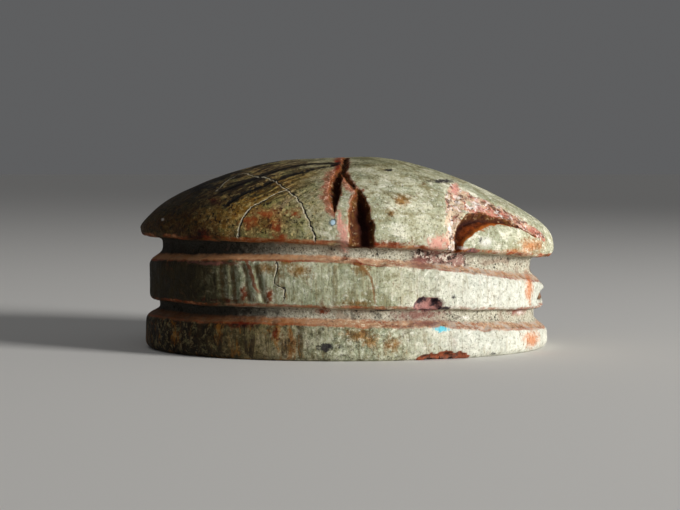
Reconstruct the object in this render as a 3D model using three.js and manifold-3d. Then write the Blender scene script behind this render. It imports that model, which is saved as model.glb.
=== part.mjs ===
// A scarab amulet carved from one piece of steatite, about as long as a fingernail.
// Seen from its flank it is a stack: a flat plate to stand on, a groove, the band of the folded legs, a second
// groove, and the domed back with its head. A drilled bore runs from end to end for a cord.
// Millimetres. +X is the head end, +Z is up, and the underside lies on z = 0 with the origin under the middle.
import * as THREE from "three";
import { mergeVertices } from "three/addons/utils/BufferGeometryUtils.js";
import Module from "manifold-3d";

// Plan of the stone. The back is the longest layer and the plate is the widest.
const LENGTH = 18;
const WIDTH = 13;
const PLATE_SHORTER = 0.2; // how far the plate's ends stay behind the back's
const BAND_SHORTER = 0.36;
const BACK_NARROWER = 0.1; // how far the back's flanks stay behind the plate's
const BAND_NARROWER = 0.15;
const EGG = 0.03; // the head end is narrower and the tail end wider by this share

// The stack of the flank at mid-length, from the underside upwards.
const PLATE_HEIGHT = 1.48;
const LOWER_GROOVE_HEIGHT = 0.66;
const BAND_HEIGHT = 1.88;
const UPPER_GROOVE_HEIGHT = 0.64;
const BACK_HEIGHT = 3.6;
const GROOVE_DEPTH = 0.62;
const EDGE_ROUNDING = 0.28; // worn lower edge of the plate

// The back's own profile along its length.
const APEX_FORWARD = 0.9; // the highest point lies this far towards the head
const RIM_LIP = 0.38; // upright edge between the upper groove and the swell of the back
const NOSE_HEIGHT = 0.75; // front face of the head above that edge
const SLOPE_POWER = 1.75; // how the back falls from its apex to the nose
const NOSE_SHARPNESS = 40;
const TAIL_POWER = 2.6;
const TAIL_ROUNDING = 0.8;
const ARCH_POWER = 2.2; // fullness of the back's cross-section

// The bore for the cord, drilled end to end through the leg band.
const BORE_DIAMETER = 1.7;
const BORE_ABOVE_BAND_FOOT = 0.82; // its axis above the lower edge of the leg band

// The engraving of the underside.
const BORDER_INSET = 0.95;
const BASE_LINE_WIDTH = 0.42;
const BASE_LINE_DEPTH = 0.22;
const RING_RADIUS = 1.7;
const RING_CORE_RADIUS = 0.62;
const RING_SPACING = 4.5;

// Fineness of the faceting.
const COLUMNS = 96;
const BORE_SIDES = 20;
const BORDER_SIDES = 48;
const RING_SIDES = 20;
const CUTTER_RISE = 0.25; // how far a cutter stands clear of the face that it cuts

const halfLength = LENGTH / 2;
const plateHalfLength = halfLength - PLATE_SHORTER;
const plateHalfWidth = WIDTH / 2;
const backHalfWidth = WIDTH / 2 - BACK_NARROWER;

// The carver cut the layers by eye, so each one changes in height along the stone. A layer's height at u, from -1 at
// the tail to 1 at the head, is its height at mid-length times a gentle quadratic.
const handCut = (height, slant, arch) => (u) => height * (1 + slant * u + arch * u * u);
const plateLayer = handCut(PLATE_HEIGHT, -0.19, -0.23);
const lowerGrooveLayer = handCut(LOWER_GROOVE_HEIGHT, 0.136, 0.159);
const bandLayer = handCut(BAND_HEIGHT, -0.162, -0.25);
const upperGrooveLayer = handCut(UPPER_GROOVE_HEIGHT, 0.073, 0.66);

const plateTop = (u) => plateLayer(u);
const bandFoot = (u) => plateTop(u) + lowerGrooveLayer(u);
const bandTop = (u) => bandFoot(u) + bandLayer(u);
const rim = (u) => bandTop(u) + upperGrooveLayer(u);
const lipTop = (u) => rim(u) + RIM_LIP;
const crownTop = rim(0) + BACK_HEIGHT;

// A point of the stone's oval plan: t is the angle round it, from the head.
function ovalPoint(halfLong, halfWide, t) {
  return { x: halfLong * Math.cos(t), y: halfWide * Math.sin(t) * (1 - EGG * Math.cos(t)) };
}

// Half the back's width at x.
function backReach(x) {
  const u = THREE.MathUtils.clamp(x / halfLength, -1, 1);
  return backHalfWidth * Math.sqrt(1 - u * u) * (1 - EGG * u);
}

// Height of the ridge line at x: a fall of constant power to the nose, and a rounded tail.
function ridge(x) {
  const foot = lipTop(x / halfLength);
  if (x < APEX_FORWARD) {
    const back = Math.min(1, (APEX_FORWARD - x) / (halfLength + APEX_FORWARD));
    return foot + (crownTop - foot) * (1 - back ** TAIL_POWER) ** TAIL_ROUNDING;
  }
  const ahead = Math.min(1, (x - APEX_FORWARD) / (halfLength - APEX_FORWARD));
  const fall = crownTop - lipTop(1) - NOSE_HEIGHT;
  const slope = crownTop - fall * ahead ** SLOPE_POWER;
  return foot + (slope - foot) * Math.sqrt(1 - ahead ** NOSE_SHARPNESS);
}

// Height of the back over a point of the plan: an arch from flank to flank under the ridge line.
function backHeight(x, y) {
  const foot = lipTop(x / halfLength);
  const across = Math.min(1, Math.abs(y) / Math.max(backReach(x), 1e-6));
  return foot + (ridge(x) - foot) * Math.sqrt(1 - across ** ARCH_POWER);
}

// A closed mesh from rings of points and the two points that close its ends.
function lathedRings(rings, first, last) {
  const positions = [first, ...rings.flat(), last].flatMap((p) => [p.x, p.y, p.z]);
  const count = rings[0].length;
  const at = (ring, column) => 1 + ring * count + (column % count);
  const end = 1 + rings.length * count;
  const index = [];
  for (let c = 0; c < count; c++) {
    index.push(0, at(0, c + 1), at(0, c));
    index.push(end, at(rings.length - 1, c), at(rings.length - 1, c + 1));
    for (let r = 0; r + 1 < rings.length; r++) {
      index.push(at(r, c), at(r, c + 1), at(r + 1, c + 1));
      index.push(at(r, c), at(r + 1, c + 1), at(r + 1, c));
    }
  }
  return new THREE.BufferGeometry()
    .setAttribute("position", new THREE.Float32BufferAttribute(positions, 3))
    .setIndex(index);
}

// The uncarved stone with its two flank grooves, as rings from the underside to the ridge.
function stoneBlank() {
  const angles = Array.from({ length: COLUMNS }, (_, i) => (2 * Math.PI * i) / COLUMNS);
  const layer = (shorter, narrower, inset, height) =>
    angles.map((t) => {
      const p = ovalPoint(halfLength - shorter - inset, plateHalfWidth - narrower - inset, t);
      return new THREE.Vector3(p.x, p.y, height(p.x / halfLength));
    });
  const plate = (inset, height) => layer(PLATE_SHORTER, 0, inset, height);
  const band = (inset, height) => layer(BAND_SHORTER, BAND_NARROWER, inset, height);
  const back = (inset, height) => layer(0, BACK_NARROWER, inset, height);
  const between = (low, high, share) => (u) => low(u) + share * (high(u) - low(u));
  const worn = EDGE_ROUNDING;
  const flank = [
    plate(worn, () => 0),
    plate(worn * 0.3, () => worn * 0.28),
    plate(0, () => worn),
    plate(0.04, between(plateTop, () => 0, 0.12)),
    plate(0.14, plateTop),
    plate(GROOVE_DEPTH, between(plateTop, bandFoot, 0.5)),
    plate(GROOVE_DEPTH, between(plateTop, bandFoot, 0.85)),
    band(0.08, bandFoot),
    band(0, between(bandFoot, bandTop, 0.25)),
    band(0, between(bandFoot, bandTop, 0.75)),
    band(0.12, bandTop),
    band(GROOVE_DEPTH, between(bandTop, rim, 0.4)),
    band(GROOVE_DEPTH, between(bandTop, rim, 0.85)),
    back(0.16, rim),
    back(0.04, between(rim, lipTop, 0.4)),
    back(0, lipTop),
  ];
  const dome = [0.985, 0.945, 0.88, 0.79, 0.68, 0.55, 0.41, 0.27, 0.13].map((share) =>
    angles.map((t) => {
      const p = ovalPoint(halfLength, backHalfWidth, t);
      return new THREE.Vector3(share * p.x, share * p.y, backHeight(share * p.x, share * p.y));
    }),
  );
  const summit = new THREE.Vector3(0, 0, backHeight(0, 0));
  return lathedRings([...flank, ...dome], new THREE.Vector3(0, 0, 0), summit);
}

// The point of the back at u along the stone and at a share of the back's height, seen from one flank.
function onBack(u, share, side) {
  const x = u * halfLength;
  const foot = lipTop(u);
  const height = THREE.MathUtils.clamp(share, 0, 1);
  const y = side * backReach(x) * (1 - height * height) ** (1 / ARCH_POWER);
  return new THREE.Vector3(x, y, foot + share * (ridge(x) - foot));
}

// Outward direction of the back there, from two short steps over its surface.
function backNormal(u, share, side) {
  const step = 0.01;
  const high = Math.min(share, 1 - 2 * step);
  const here = onBack(u, Math.max(high, 0), side);
  const ahead = onBack(u + step, Math.max(high, 0), side);
  const above = onBack(u, Math.max(high, 0) + step, side);
  return ahead.sub(here).cross(above.sub(here)).normalize().multiplyScalar(-side);
}

// A gouge's cut: a V swept along stations, each with a point, an outward normal, a half width, a depth and a lean.
// The lean moves the floor of the V sideways, as a share of the half width. Above the surface the cutter's walls are
// upright, so that it cuts nothing beside the V. A loop has no ends.
const CUTTER_CORNERS = 5;

function gouge(stations, loop = false) {
  const count = stations.length;
  const along = (i) => {
    const next = stations[loop ? (i + 1) % count : Math.min(i + 1, count - 1)].point;
    const last = stations[loop ? (i + count - 1) % count : Math.max(i - 1, 0)].point;
    return next.clone().sub(last).normalize();
  };
  const positions = stations.flatMap(({ point, normal, half, depth, lean = 0 }, i) => {
    const side = along(i).cross(normal).normalize();
    const corner = (across, out) => point.clone().addScaledVector(side, across).addScaledVector(normal, out);
    return [
      corner(lean * half, -depth),
      corner(half, 0),
      corner(half, CUTTER_RISE),
      corner(-half, CUTTER_RISE),
      corner(-half, 0),
    ].flatMap((p) => [p.x, p.y, p.z]);
  });
  const index = [];
  for (let i = 0; i < (loop ? count : count - 1); i++) {
    const a = CUTTER_CORNERS * i;
    const b = CUTTER_CORNERS * ((i + 1) % count);
    for (let k = 0; k < CUTTER_CORNERS; k++) {
      const m = (k + 1) % CUTTER_CORNERS;
      index.push(a + k, b + m, a + m, a + k, b + k, b + m);
    }
  }
  for (let k = 1; !loop && k < CUTTER_CORNERS - 1; k++) {
    const last = CUTTER_CORNERS * (count - 1);
    index.push(0, k, k + 1, last, last + k + 1, last + k);
  }
  return new THREE.BufferGeometry()
    .setAttribute("position", new THREE.Float32BufferAttribute(positions, 3))
    .setIndex(index);
}

// A stroke carved into one flank of the back. Each row is [u, share of the back's height, half width, depth], and
// the rows run downwards or towards the head. A positive lean sets the floor of the V towards the head.
const backStroke = (side, rows, lean = 0) =>
  gouge(
    rows.map(([u, share, half, depth]) => ({
      point: onBack(u, share, side),
      normal: backNormal(u, share, side),
      half,
      depth,
      lean: lean * side,
    })),
  );

// The cuts that part the wing cases from the collar of the back: a line over the ridge that forks on each flank
// into a short notch and a deep wedge, which opens into the upper groove.
const COLLAR_LINE_HALF = 0.17;
const COLLAR_LINE_DEPTH = 0.22;
const NOTCH_LEAN = 0.6;
const NOTCH = [
  [-0.03, 0.79, 0.13, 0.1],
  [-0.047, 0.7, 0.24, 0.38],
  [-0.052, 0.57, 0.23, 0.45],
  [-0.054, 0.44, 0.2, 0.4],
  [-0.056, 0.32, 0.13, 0.26],
  [-0.053, 0.24, 0.05, 0.06],
];
const WEDGE_LEAN = 0.5;
const WEDGE = [
  [0.014, 0.72, 0.06, 0.07],
  [0.028, 0.575, 0.07, 0.1],
  [0.05, 0.475, 0.14, 0.26],
  [0.048, 0.39, 0.3, 0.5],
  [0.052, 0.27, 0.42, 0.64],
  [0.056, 0.15, 0.47, 0.66],
  [0.06, 0.02, 0.5, 0.6],
  [0.064, -0.2, 0.5, 0.56],
];

function collarLine() {
  const steps = 16;
  const tailward = -0.015; // the line drifts towards the tail as it goes down
  const lowest = Math.acos(0.74);
  const stations = Array.from({ length: steps + 1 }, (_, i) => {
    const angle = lowest * ((2 * i) / steps - 1);
    const share = Math.cos(angle);
    const side = angle < 0 ? -1 : 1;
    const u = -0.008 + tailward * Math.abs(angle / lowest);
    return {
      point: onBack(u, share, side),
      normal: backNormal(u, share, side),
      half: COLLAR_LINE_HALF,
      depth: COLLAR_LINE_DEPTH,
    };
  });
  return gouge(stations);
}

// The head: a shallow neck, a worn strip along the brow, and an arched channel that frees a rounded cheek on each
// flank.
const NECK = [
  [0.505, 0.84, 0.08, 0.04],
  [0.498, 0.69, 0.24, 0.12],
  [0.49, 0.54, 0.26, 0.15],
  [0.482, 0.4, 0.24, 0.16],
  [0.477, 0.25, 0.2, 0.16],
  [0.478, 0.1, 0.18, 0.14],
  [0.48, -0.2, 0.18, 0.14],
];
const BROW = [
  [0.505, 0.79, 0.1, 0.05],
  [0.555, 0.75, 0.3, 0.11],
  [0.62, 0.72, 0.34, 0.12],
  [0.69, 0.73, 0.32, 0.12],
  [0.76, 0.73, 0.26, 0.11],
  [0.82, 0.69, 0.22, 0.1],
  [0.88, 0.6, 0.17, 0.08],
  [0.93, 0.45, 0.08, 0.04],
];
const CHEEK_CHANNEL = [
  [0.512, -0.2, 0.19, 0.42],
  [0.512, 0, 0.2, 0.45],
  [0.526, 0.13, 0.32, 0.58],
  [0.552, 0.27, 0.42, 0.62],
  [0.594, 0.385, 0.42, 0.56],
  [0.643, 0.45, 0.36, 0.48],
  [0.696, 0.5, 0.27, 0.38],
  [0.746, 0.52, 0.2, 0.27],
  [0.795, 0.505, 0.14, 0.18],
  [0.843, 0.465, 0.1, 0.12],
  [0.893, 0.38, 0.05, 0.05],
];

// Two incised lines that sweep over each wing case from the collar, and the seam between the cases. The lines taper
// out at their tail ends.
const CASE_LINE_HALF = 0.09;
const CASE_LINE_DEPTH = 0.09;
const UPPER_CASE_LINE = [
  [-0.045, 0.92],
  [-0.16, 0.925],
  [-0.29, 0.885],
  [-0.4, 0.81],
  [-0.5, 0.73],
  [-0.58, 0.66],
];
const LOWER_CASE_LINE = [
  [-0.05, 0.9],
  [-0.17, 0.838],
  [-0.3, 0.757],
  [-0.42, 0.637],
  [-0.5, 0.52],
  [-0.545, 0.41],
];
const SEAM_START = -0.02;
const SEAM_END = -0.93;

function caseLine(side, rows) {
  const shrink = (i) => (i === rows.length - 1 ? 0.5 : 1);
  return backStroke(
    side,
    rows.map(([u, share], i) => [u, share, CASE_LINE_HALF * shrink(i), CASE_LINE_DEPTH * shrink(i)]),
  );
}

function seam() {
  const steps = 12;
  const stations = Array.from({ length: steps + 1 }, (_, i) => {
    const x = halfLength * THREE.MathUtils.lerp(SEAM_START, SEAM_END, i / steps);
    const step = 0.1;
    const slope = (ridge(x + step) - ridge(x - step)) / (2 * step);
    return {
      point: new THREE.Vector3(x, 0, ridge(x)),
      normal: new THREE.Vector3(-slope, 0, 1).normalize(),
      half: CASE_LINE_HALF,
      depth: CASE_LINE_DEPTH,
    };
  });
  return gouge(stations);
}

// Short hatches that mark the hind leg on the band. Each row is [u at the top, u at the foot], and a hatch tapers to
// both ends.
const HATCH_HALF = 0.13;
const HATCH_DEPTH = 0.09;
const LEG_HATCHES = [
  [-0.57, -0.565],
  [-0.52, -0.51],
  [-0.47, -0.435],
  [-0.42, -0.365],
];

function legHatch(side, [uTop, uFoot]) {
  const halfLong = halfLength - BAND_SHORTER;
  const halfWide = plateHalfWidth - BAND_NARROWER;
  const stations = [0.05, 0.35, 0.65, 0.95].map((share, i) => {
    const taper = [0.45, 1, 1, 0.45][i];
    const u = uFoot + share * (uTop - uFoot);
    const t = Math.acos((u * halfLength) / halfLong);
    const p = ovalPoint(halfLong, halfWide * side, t);
    return {
      point: new THREE.Vector3(p.x, p.y, bandFoot(u) + share * (bandTop(u) - bandFoot(u))),
      normal: new THREE.Vector3(p.x / halfLong ** 2, p.y / halfWide ** 2, 0).normalize(),
      half: HATCH_HALF * taper,
      depth: HATCH_DEPTH * taper,
    };
  });
  return gouge(stations);
}

// The underside's border line and its three ring-and-core motifs, all cut as closed loops.
const underLoop = (sides, pointAt) =>
  gouge(
    Array.from({ length: sides }, (_, i) => {
      const p = pointAt((2 * Math.PI * i) / sides);
      return {
        point: new THREE.Vector3(p.x, p.y, 0),
        normal: new THREE.Vector3(0, 0, -1),
        half: BASE_LINE_WIDTH / 2,
        depth: BASE_LINE_DEPTH,
      };
    }),
    true,
  );

function underside() {
  const border = underLoop(BORDER_SIDES, (t) =>
    ovalPoint(plateHalfLength - BORDER_INSET, plateHalfWidth - BORDER_INSET, t),
  );
  const rings = [-1, 0, 1].flatMap((place) =>
    [RING_RADIUS, RING_CORE_RADIUS].map((radius) =>
      underLoop(RING_SIDES, (t) => ({
        x: place * RING_SPACING + radius * Math.cos(t),
        y: radius * Math.sin(t),
      })),
    ),
  );
  return [border, ...rings];
}

// A scallop-shaped loss, cut by a squashed ball whose centre lies on or near the surface.
function chip(centre, size) {
  return new THREE.IcosahedronGeometry(1, 1)
    .scale(size.x, size.y, size.z)
    .translate(centre.x, centre.y, centre.z);
}

// Losses on the flank towards -Y: one at the foot of the leg band and one along the plate's lower edge. A size is
// half the loss along X, Y and Z.
const BAND_CHIP_PLACE = 0.41;
const BAND_CHIP_SIZE = new THREE.Vector3(0.6, 0.4, 0.5);
const PLATE_CHIP_PLACE = 0.42;
const PLATE_CHIP_SIZE = new THREE.Vector3(1.05, 0.42, 0.34);

function chips() {
  const bandSpot = ovalPoint(halfLength - BAND_SHORTER, plateHalfWidth, -Math.acos(BAND_CHIP_PLACE));
  const plateSpot = ovalPoint(plateHalfLength, plateHalfWidth, -Math.acos(PLATE_CHIP_PLACE));
  return [
    chip(new THREE.Vector3(bandSpot.x, bandSpot.y, bandFoot(BAND_CHIP_PLACE) + 0.1), BAND_CHIP_SIZE),
    chip(new THREE.Vector3(plateSpot.x, plateSpot.y, 0), PLATE_CHIP_SIZE),
  ];
}

// The bore runs straight through the leg band and clear of both ends.
function bore() {
  return new THREE.CylinderGeometry(BORE_DIAMETER / 2, BORE_DIAMETER / 2, 1.5 * LENGTH, BORE_SIDES)
    .rotateZ(Math.PI / 2)
    .translate(0, 0, bandFoot(0) + BORE_ABOVE_BAND_FOOT);
}

const wasm = await Module();
wasm.setup();

// A closed geometry as a solid that can be cut.
function solid(geometry) {
  const bare = geometry.clone();
  bare.deleteAttribute("normal");
  bare.deleteAttribute("uv");
  const merged = mergeVertices(bare, 1e-5);
  const made = new wasm.Manifold(
    new wasm.Mesh({
      numProp: 3,
      vertProperties: merged.attributes.position.array,
      triVerts: new Uint32Array(merged.index.array),
    }),
  );
  if (made.volume() <= 0) throw new Error("a cutter is inside out");
  return made;
}

function carve(blank, cutters) {
  const carved = cutters.reduce((stone, cutter) => stone.subtract(solid(cutter)), solid(blank));
  const mesh = carved.getMesh();
  return new THREE.BufferGeometry()
    .setAttribute("position", new THREE.BufferAttribute(new Float32Array(mesh.vertProperties), 3))
    .setIndex(new THREE.BufferAttribute(new Uint32Array(mesh.triVerts), 1));
}

const flankCuts = [-1, 1].flatMap((side) => [
  ...[NECK, BROW, CHEEK_CHANNEL].map((rows) => backStroke(side, rows)),
  ...[UPPER_CASE_LINE, LOWER_CASE_LINE].map((rows) => caseLine(side, rows)),
  backStroke(side, NOTCH, NOTCH_LEAN),
  backStroke(side, WEDGE, WEDGE_LEAN),
  ...LEG_HATCHES.map((hatch) => legHatch(side, hatch)),
]);

const steatite = new THREE.MeshStandardMaterial({ color: 0xb9b394, roughness: 0.55, metalness: 0 });
const scarab = new THREE.Mesh(
  carve(stoneBlank(), [collarLine(), seam(), ...flankCuts, ...chips(), ...underside(), bore()]),
  steatite,
);
scarab.name = "scarab";

const amulet = new THREE.Group();
amulet.add(scarab);

export default amulet;
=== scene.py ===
import bpy
import numpy as np
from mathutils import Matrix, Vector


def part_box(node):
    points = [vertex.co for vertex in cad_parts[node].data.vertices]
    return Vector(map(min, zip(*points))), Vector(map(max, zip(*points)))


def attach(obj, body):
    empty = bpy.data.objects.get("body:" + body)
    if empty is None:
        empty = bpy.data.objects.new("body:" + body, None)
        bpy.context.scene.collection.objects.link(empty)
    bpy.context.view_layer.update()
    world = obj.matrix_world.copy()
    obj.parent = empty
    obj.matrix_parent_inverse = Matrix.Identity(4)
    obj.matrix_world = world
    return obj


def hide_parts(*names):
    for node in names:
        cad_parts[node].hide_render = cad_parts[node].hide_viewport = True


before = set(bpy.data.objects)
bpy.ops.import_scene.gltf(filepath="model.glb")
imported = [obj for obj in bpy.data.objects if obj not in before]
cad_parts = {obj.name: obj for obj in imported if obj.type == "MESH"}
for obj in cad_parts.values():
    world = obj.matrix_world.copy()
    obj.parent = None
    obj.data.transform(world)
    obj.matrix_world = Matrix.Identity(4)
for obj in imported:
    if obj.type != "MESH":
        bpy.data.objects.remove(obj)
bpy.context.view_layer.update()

# The stone's form
# One oval piece of steatite, sawn and scraped to a stack: a flat plate, the band of the folded legs and a
# domed back, with a groove cut round the stone between each two. Sizes are millimetres, from the frame's box.
MM = 0.001
low_corner, high_corner = (np.array(corner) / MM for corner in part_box("scarab"))
half_length, half_width = (high_corner - low_corner)[:2] / 2
stone_height = high_corner[2]

EGG = 0.03  # the head end is narrower and the tail end wider by this share
PLATE_SHORTER = 0.2
BAND_SHORTER = 0.36
BACK_NARROWER = 0.1
BAND_NARROWER = 0.15
GROOVE_DEPTH = 0.62
EDGE_ROUNDING = 0.28
RIM_LIP = 0.38
NOSE_HEIGHT = 0.75
APEX_FORWARD = 0.9
SLOPE_POWER = 1.75
NOSE_SHARPNESS = 40
TAIL_POWER = 2.6
TAIL_ROUNDING = 0.8
ARCH_POWER = 2.2
OVALS = {
    "plate": (half_length - PLATE_SHORTER, half_width),
    "band": (half_length - BAND_SHORTER, half_width - BAND_NARROWER),
    "back": (half_length, half_width - BACK_NARROWER),
}


def hand_cut(share, slant, arch):
    """Height of a layer along the stone: its share of the stone's height times a gentle quadratic of u."""
    return lambda u: share * stone_height * (1 + slant * u + arch * u**2)


# Each layer's height on the flank. The argument u of every height runs from -1 at the tail to 1 at the head.
plate_top = hand_cut(0.1792, -0.19, -0.23)
lower_groove_layer = hand_cut(0.0799, 0.136, 0.159)
band_layer = hand_cut(0.2276, -0.162, -0.25)
upper_groove_layer = hand_cut(0.0775, 0.073, 0.66)


def band_foot(u):
    """Lower edge of the leg band at u."""
    return plate_top(u) + lower_groove_layer(u)


def band_top(u):
    """Upper edge of the leg band at u."""
    return band_foot(u) + band_layer(u)


def rim(u):
    """Lower edge of the back at u."""
    return band_top(u) + upper_groove_layer(u)


def lip_top(u):
    """Top of the back's upright edge, where its swell begins."""
    return rim(u) + RIM_LIP


def ridge(x):
    """Height of the ridge line: a fall of constant power from the apex to the nose, and a rounded tail."""
    foot = lip_top(x / half_length)
    behind = np.clip((APEX_FORWARD - x) / (half_length + APEX_FORWARD), 0, 1)
    ahead = np.clip((x - APEX_FORWARD) / (half_length - APEX_FORWARD), 0, 1)
    tail = foot + (stone_height - foot) * (1 - behind**TAIL_POWER) ** TAIL_ROUNDING
    slope = stone_height - (stone_height - lip_top(1) - NOSE_HEIGHT) * ahead**SLOPE_POWER
    head = foot + (slope - foot) * np.sqrt(1 - ahead**NOSE_SHARPNESS)
    return np.where(x < APEX_FORWARD, tail, head)


def back_reach(x):
    """Half the back's width at x, from its oval."""
    u = np.clip(x / half_length, -1, 1)
    return OVALS["back"][1] * np.sqrt(1 - u**2) * (1 - EGG * u)


def back_height(x, y):
    """Height of the back over the plan: an arch from flank to flank under the ridge line."""
    foot = lip_top(x / half_length)
    across = np.clip(np.abs(y) / np.maximum(back_reach(x), 1e-6), 0, 1)
    return foot + (ridge(x) - foot) * np.sqrt(1 - across**ARCH_POWER)


# The stone's surface as rings
# Each ring goes round the whole stone. They start at the middle of the underside, climb the flank through
# both grooves and close over the back. Each has its own count of columns, fewer near the middles.
COLUMNS = 560
UNDERSIDE_STEPS = 58
DOME_STEPS = 92
CLOSE_WORK = [(0.04, 0.12, 1.1), (0.62, 0.28, 0.35)]  # cosine of the place, reach in radians, extra fineness


def column_angles():
    """Angles round the plan, spaced by the oval's length and closer together where the deep cuts are."""
    t = np.linspace(0, 2 * np.pi, 7201)
    pace = np.hypot(half_length * np.sin(t), half_width * np.cos(t))
    for place, reach, finer in CLOSE_WORK:
        for side in (-1, 1):
            away = (t - side * np.arccos(place) + np.pi) % (2 * np.pi) - np.pi
            pace = pace * (1 + finer * np.exp(-((away / reach) ** 2)))
    length = np.concatenate([[0], np.cumsum((pace[1:] + pace[:-1]) / 2)])
    return np.interp(np.linspace(0, length[-1], COLUMNS, endpoint=False), length, t)


angles = column_angles()


def oval(long, wide, t):
    """Points of the egg-shaped plan: an ellipse whose width shrinks towards the head."""
    return long * np.cos(t), wide * np.sin(t) * (1 - EGG * np.cos(t))


def level(part, inset, height):
    """One ring of the flank: the part's oval drawn in by the inset, at a height that is a function of u."""
    long, wide = OVALS[part]
    x, y = oval(long - inset, wide - inset, angles)
    return np.stack([x, y, height(x / half_length), np.full_like(x, inset)], axis=1)


def between(lower, upper, share):
    """A height function part of the way from one to another."""
    return lambda u: lower(u) + share * (upper(u) - lower(u))


def raised(height, rise):
    """A height function moved up by a fixed rise."""
    return lambda u: height(u) + rise


def flat(height):
    """A height function that is the same all along the stone."""
    return lambda u: np.full_like(u, height)


# Each corner of the flank's profile, with the count of rings up to the next corner.
FLANK = [
    (level("plate", EDGE_ROUNDING, flat(0)), 2),
    (level("plate", EDGE_ROUNDING * 0.3, flat(EDGE_ROUNDING * 0.28)), 2),
    (level("plate", 0, flat(EDGE_ROUNDING)), 10),
    (level("plate", 0.02, raised(plate_top, -0.12)), 2),
    (level("plate", 0.14, raised(plate_top, 0.02)), 5),
    (level("plate", GROOVE_DEPTH, between(plate_top, band_foot, 0.36)), 4),
    (level("plate", GROOVE_DEPTH, between(plate_top, band_foot, 0.92)), 5),
    (level("band", 0.08, band_foot), 2),
    (level("band", 0, raised(band_foot, 0.14)), 15),
    (level("band", 0.01, raised(band_top, -0.16)), 2),
    (level("band", 0.14, raised(band_top, 0.01)), 5),
    (level("band", GROOVE_DEPTH, between(band_top, rim, 0.24)), 4),
    (level("band", GROOVE_DEPTH, between(band_top, rim, 0.92)), 5),
    (level("back", 0.13, rim), 2),
    (level("back", 0.03, raised(rim, 0.13)), 3),
    (level("back", 0, lip_top), 0),
]


def flank_rings():
    """Rings between the corners, in even steps, then smoothed twice so that the corners are worn round."""
    rows = []
    for (ring, steps), (following, _) in zip(FLANK[:-1], FLANK[1:]):
        rows += [ring + (following - ring) * share for share in np.arange(steps) / steps]
    rows = np.array(rows + [FLANK[-1][0]])
    for _ in range(2):
        rows[1:-1] = (rows[:-2] + 2 * rows[1:-1] + rows[2:]) / 4
    return list(rows)


def thinned(share):
    """How many columns are skipped at a share of the way out from a middle."""
    return 1 if share > 0.52 else 2 if share > 0.27 else 4 if share > 0.12 else 8


def underside_rings():
    """Flat rings from the middle of the underside to the plate's rounded edge."""
    rings = []
    for share in np.linspace(0, 1, UNDERSIDE_STEPS)[1:-1]:
        edge = FLANK[0][0][:: 2 * thinned(share) if share < 0.93 else 1]
        rings.append(edge * [share, share, 0, 1])
    return rings


def dome_rings():
    """Rings over the back, at even steps of the angle that the arch turns through."""
    rings = []
    for turn in np.linspace(0, np.pi / 2, DOME_STEPS)[1:-1]:
        share = np.cos(turn)
        t = angles[:: thinned(share)]
        x, y = (share * part for part in oval(*OVALS["back"], t))
        rings.append(np.stack([x, y, back_height(x, y), np.zeros_like(x)], axis=1))
    return rings


def skin(counts):
    """Triangles between neighbouring rings, whose columns may halve or double, and a fan at each end."""
    starts = 1 + np.concatenate([[0], np.cumsum(counts)])
    faces = []
    for here, there, n, m in zip(starts[:-2], starts[1:-1], counts[:-1], counts[1:]):
        cell = np.arange(min(n, m))
        p, q = n // len(cell), m // len(cell)
        a, b = here + p * cell, here + p * (cell + 1) % n
        d, e = there + q * cell, there + q * (cell + 1) % m
        triangles = [(a, b, e), (a, e, d)]
        if q == 2:
            triangles = [(a, b, d + 1), (a, d + 1, d), (b, e, d + 1)]
        if p == 2:
            triangles = [(a, a + 1, d), (a + 1, b, e), (a + 1, e, d)]
        faces += [np.stack(corners, 1) for corners in triangles]
    first, last = np.arange(counts[0]), np.arange(counts[-1])
    faces.append(np.stack([0 * first, 1 + (first + 1) % counts[0], 1 + first], 1))
    top = starts[-2]
    faces.append(np.stack([0 * last + starts[-1], top + last, top + (last + 1) % counts[-1]], 1))
    return np.concatenate(faces)


under, flank, dome = underside_rings(), flank_rings(), dome_rings()
rings = under + flank + dome
summit = [[0, 0, back_height(0.0, 0.0), 0]]
surface = np.concatenate([[[0, 0, 0, EDGE_ROUNDING]], *rings, summit])
points, inset = surface[:, :3], surface[:, 3]
faces = skin([len(ring) for ring in rings])

# The part of the stone that each point belongs to, counted up the rings.
level_of = np.repeat(np.arange(len(rings) + 2), [1] + [len(ring) for ring in rings] + [1])
flank_start = len(under) + 1
corner_levels = flank_start + np.concatenate([[0], np.cumsum([steps for _, steps in FLANK])])
is_under = level_of < flank_start
is_dome = level_of >= corner_levels[-1]
is_back = level_of > corner_levels[12]
on_plate = (level_of >= flank_start) & (level_of <= corner_levels[4])
on_band = (level_of >= corner_levels[7]) & (level_of <= corner_levels[10])


def outward_directions(points):
    """Direction out of the surface at each point: the summed cross products of its triangles' sides."""
    a, b, c = (points[faces[:, k]] for k in range(3))
    across = np.cross(b - a, c - a)
    total = [np.bincount(faces.ravel(), np.repeat(across[:, k], 3), len(points)) for k in range(3)]
    return np.stack(total, axis=1) / np.linalg.norm(total, axis=0)[:, None]


# The hand's unevenness
# The stone was shaped by eye with a saw and scrapers, and then worn by handling. Its lines wander a little,
# its faces show upright scraping marks, and small pits and dents cover it.
def grain(points, size, seed):
    """Smooth random value from -1 to 1: random corners of a lattice of this size, blended between."""
    place = points / size + 31.7 * seed
    cell = np.floor(place).astype(np.int64)
    share = place - cell
    share = share**2 * (3 - 2 * share)
    value = 0
    for corner in np.ndindex(2, 2, 2):
        a, b, c = (cell + corner).T
        mixed = (a * 73856093) ^ (b * 19349663) ^ (c * 83492791) ^ (seed * 49979687)
        mixed = ((mixed ^ (mixed >> 13)) * 1274126177) & 0xFFFFFF
        weight = np.prod(np.where(corner, share, 1 - share), axis=1)
        value = value + weight * (((mixed >> 8) & 0xFFFF) / 32767.5 - 1)
    return value


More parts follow.
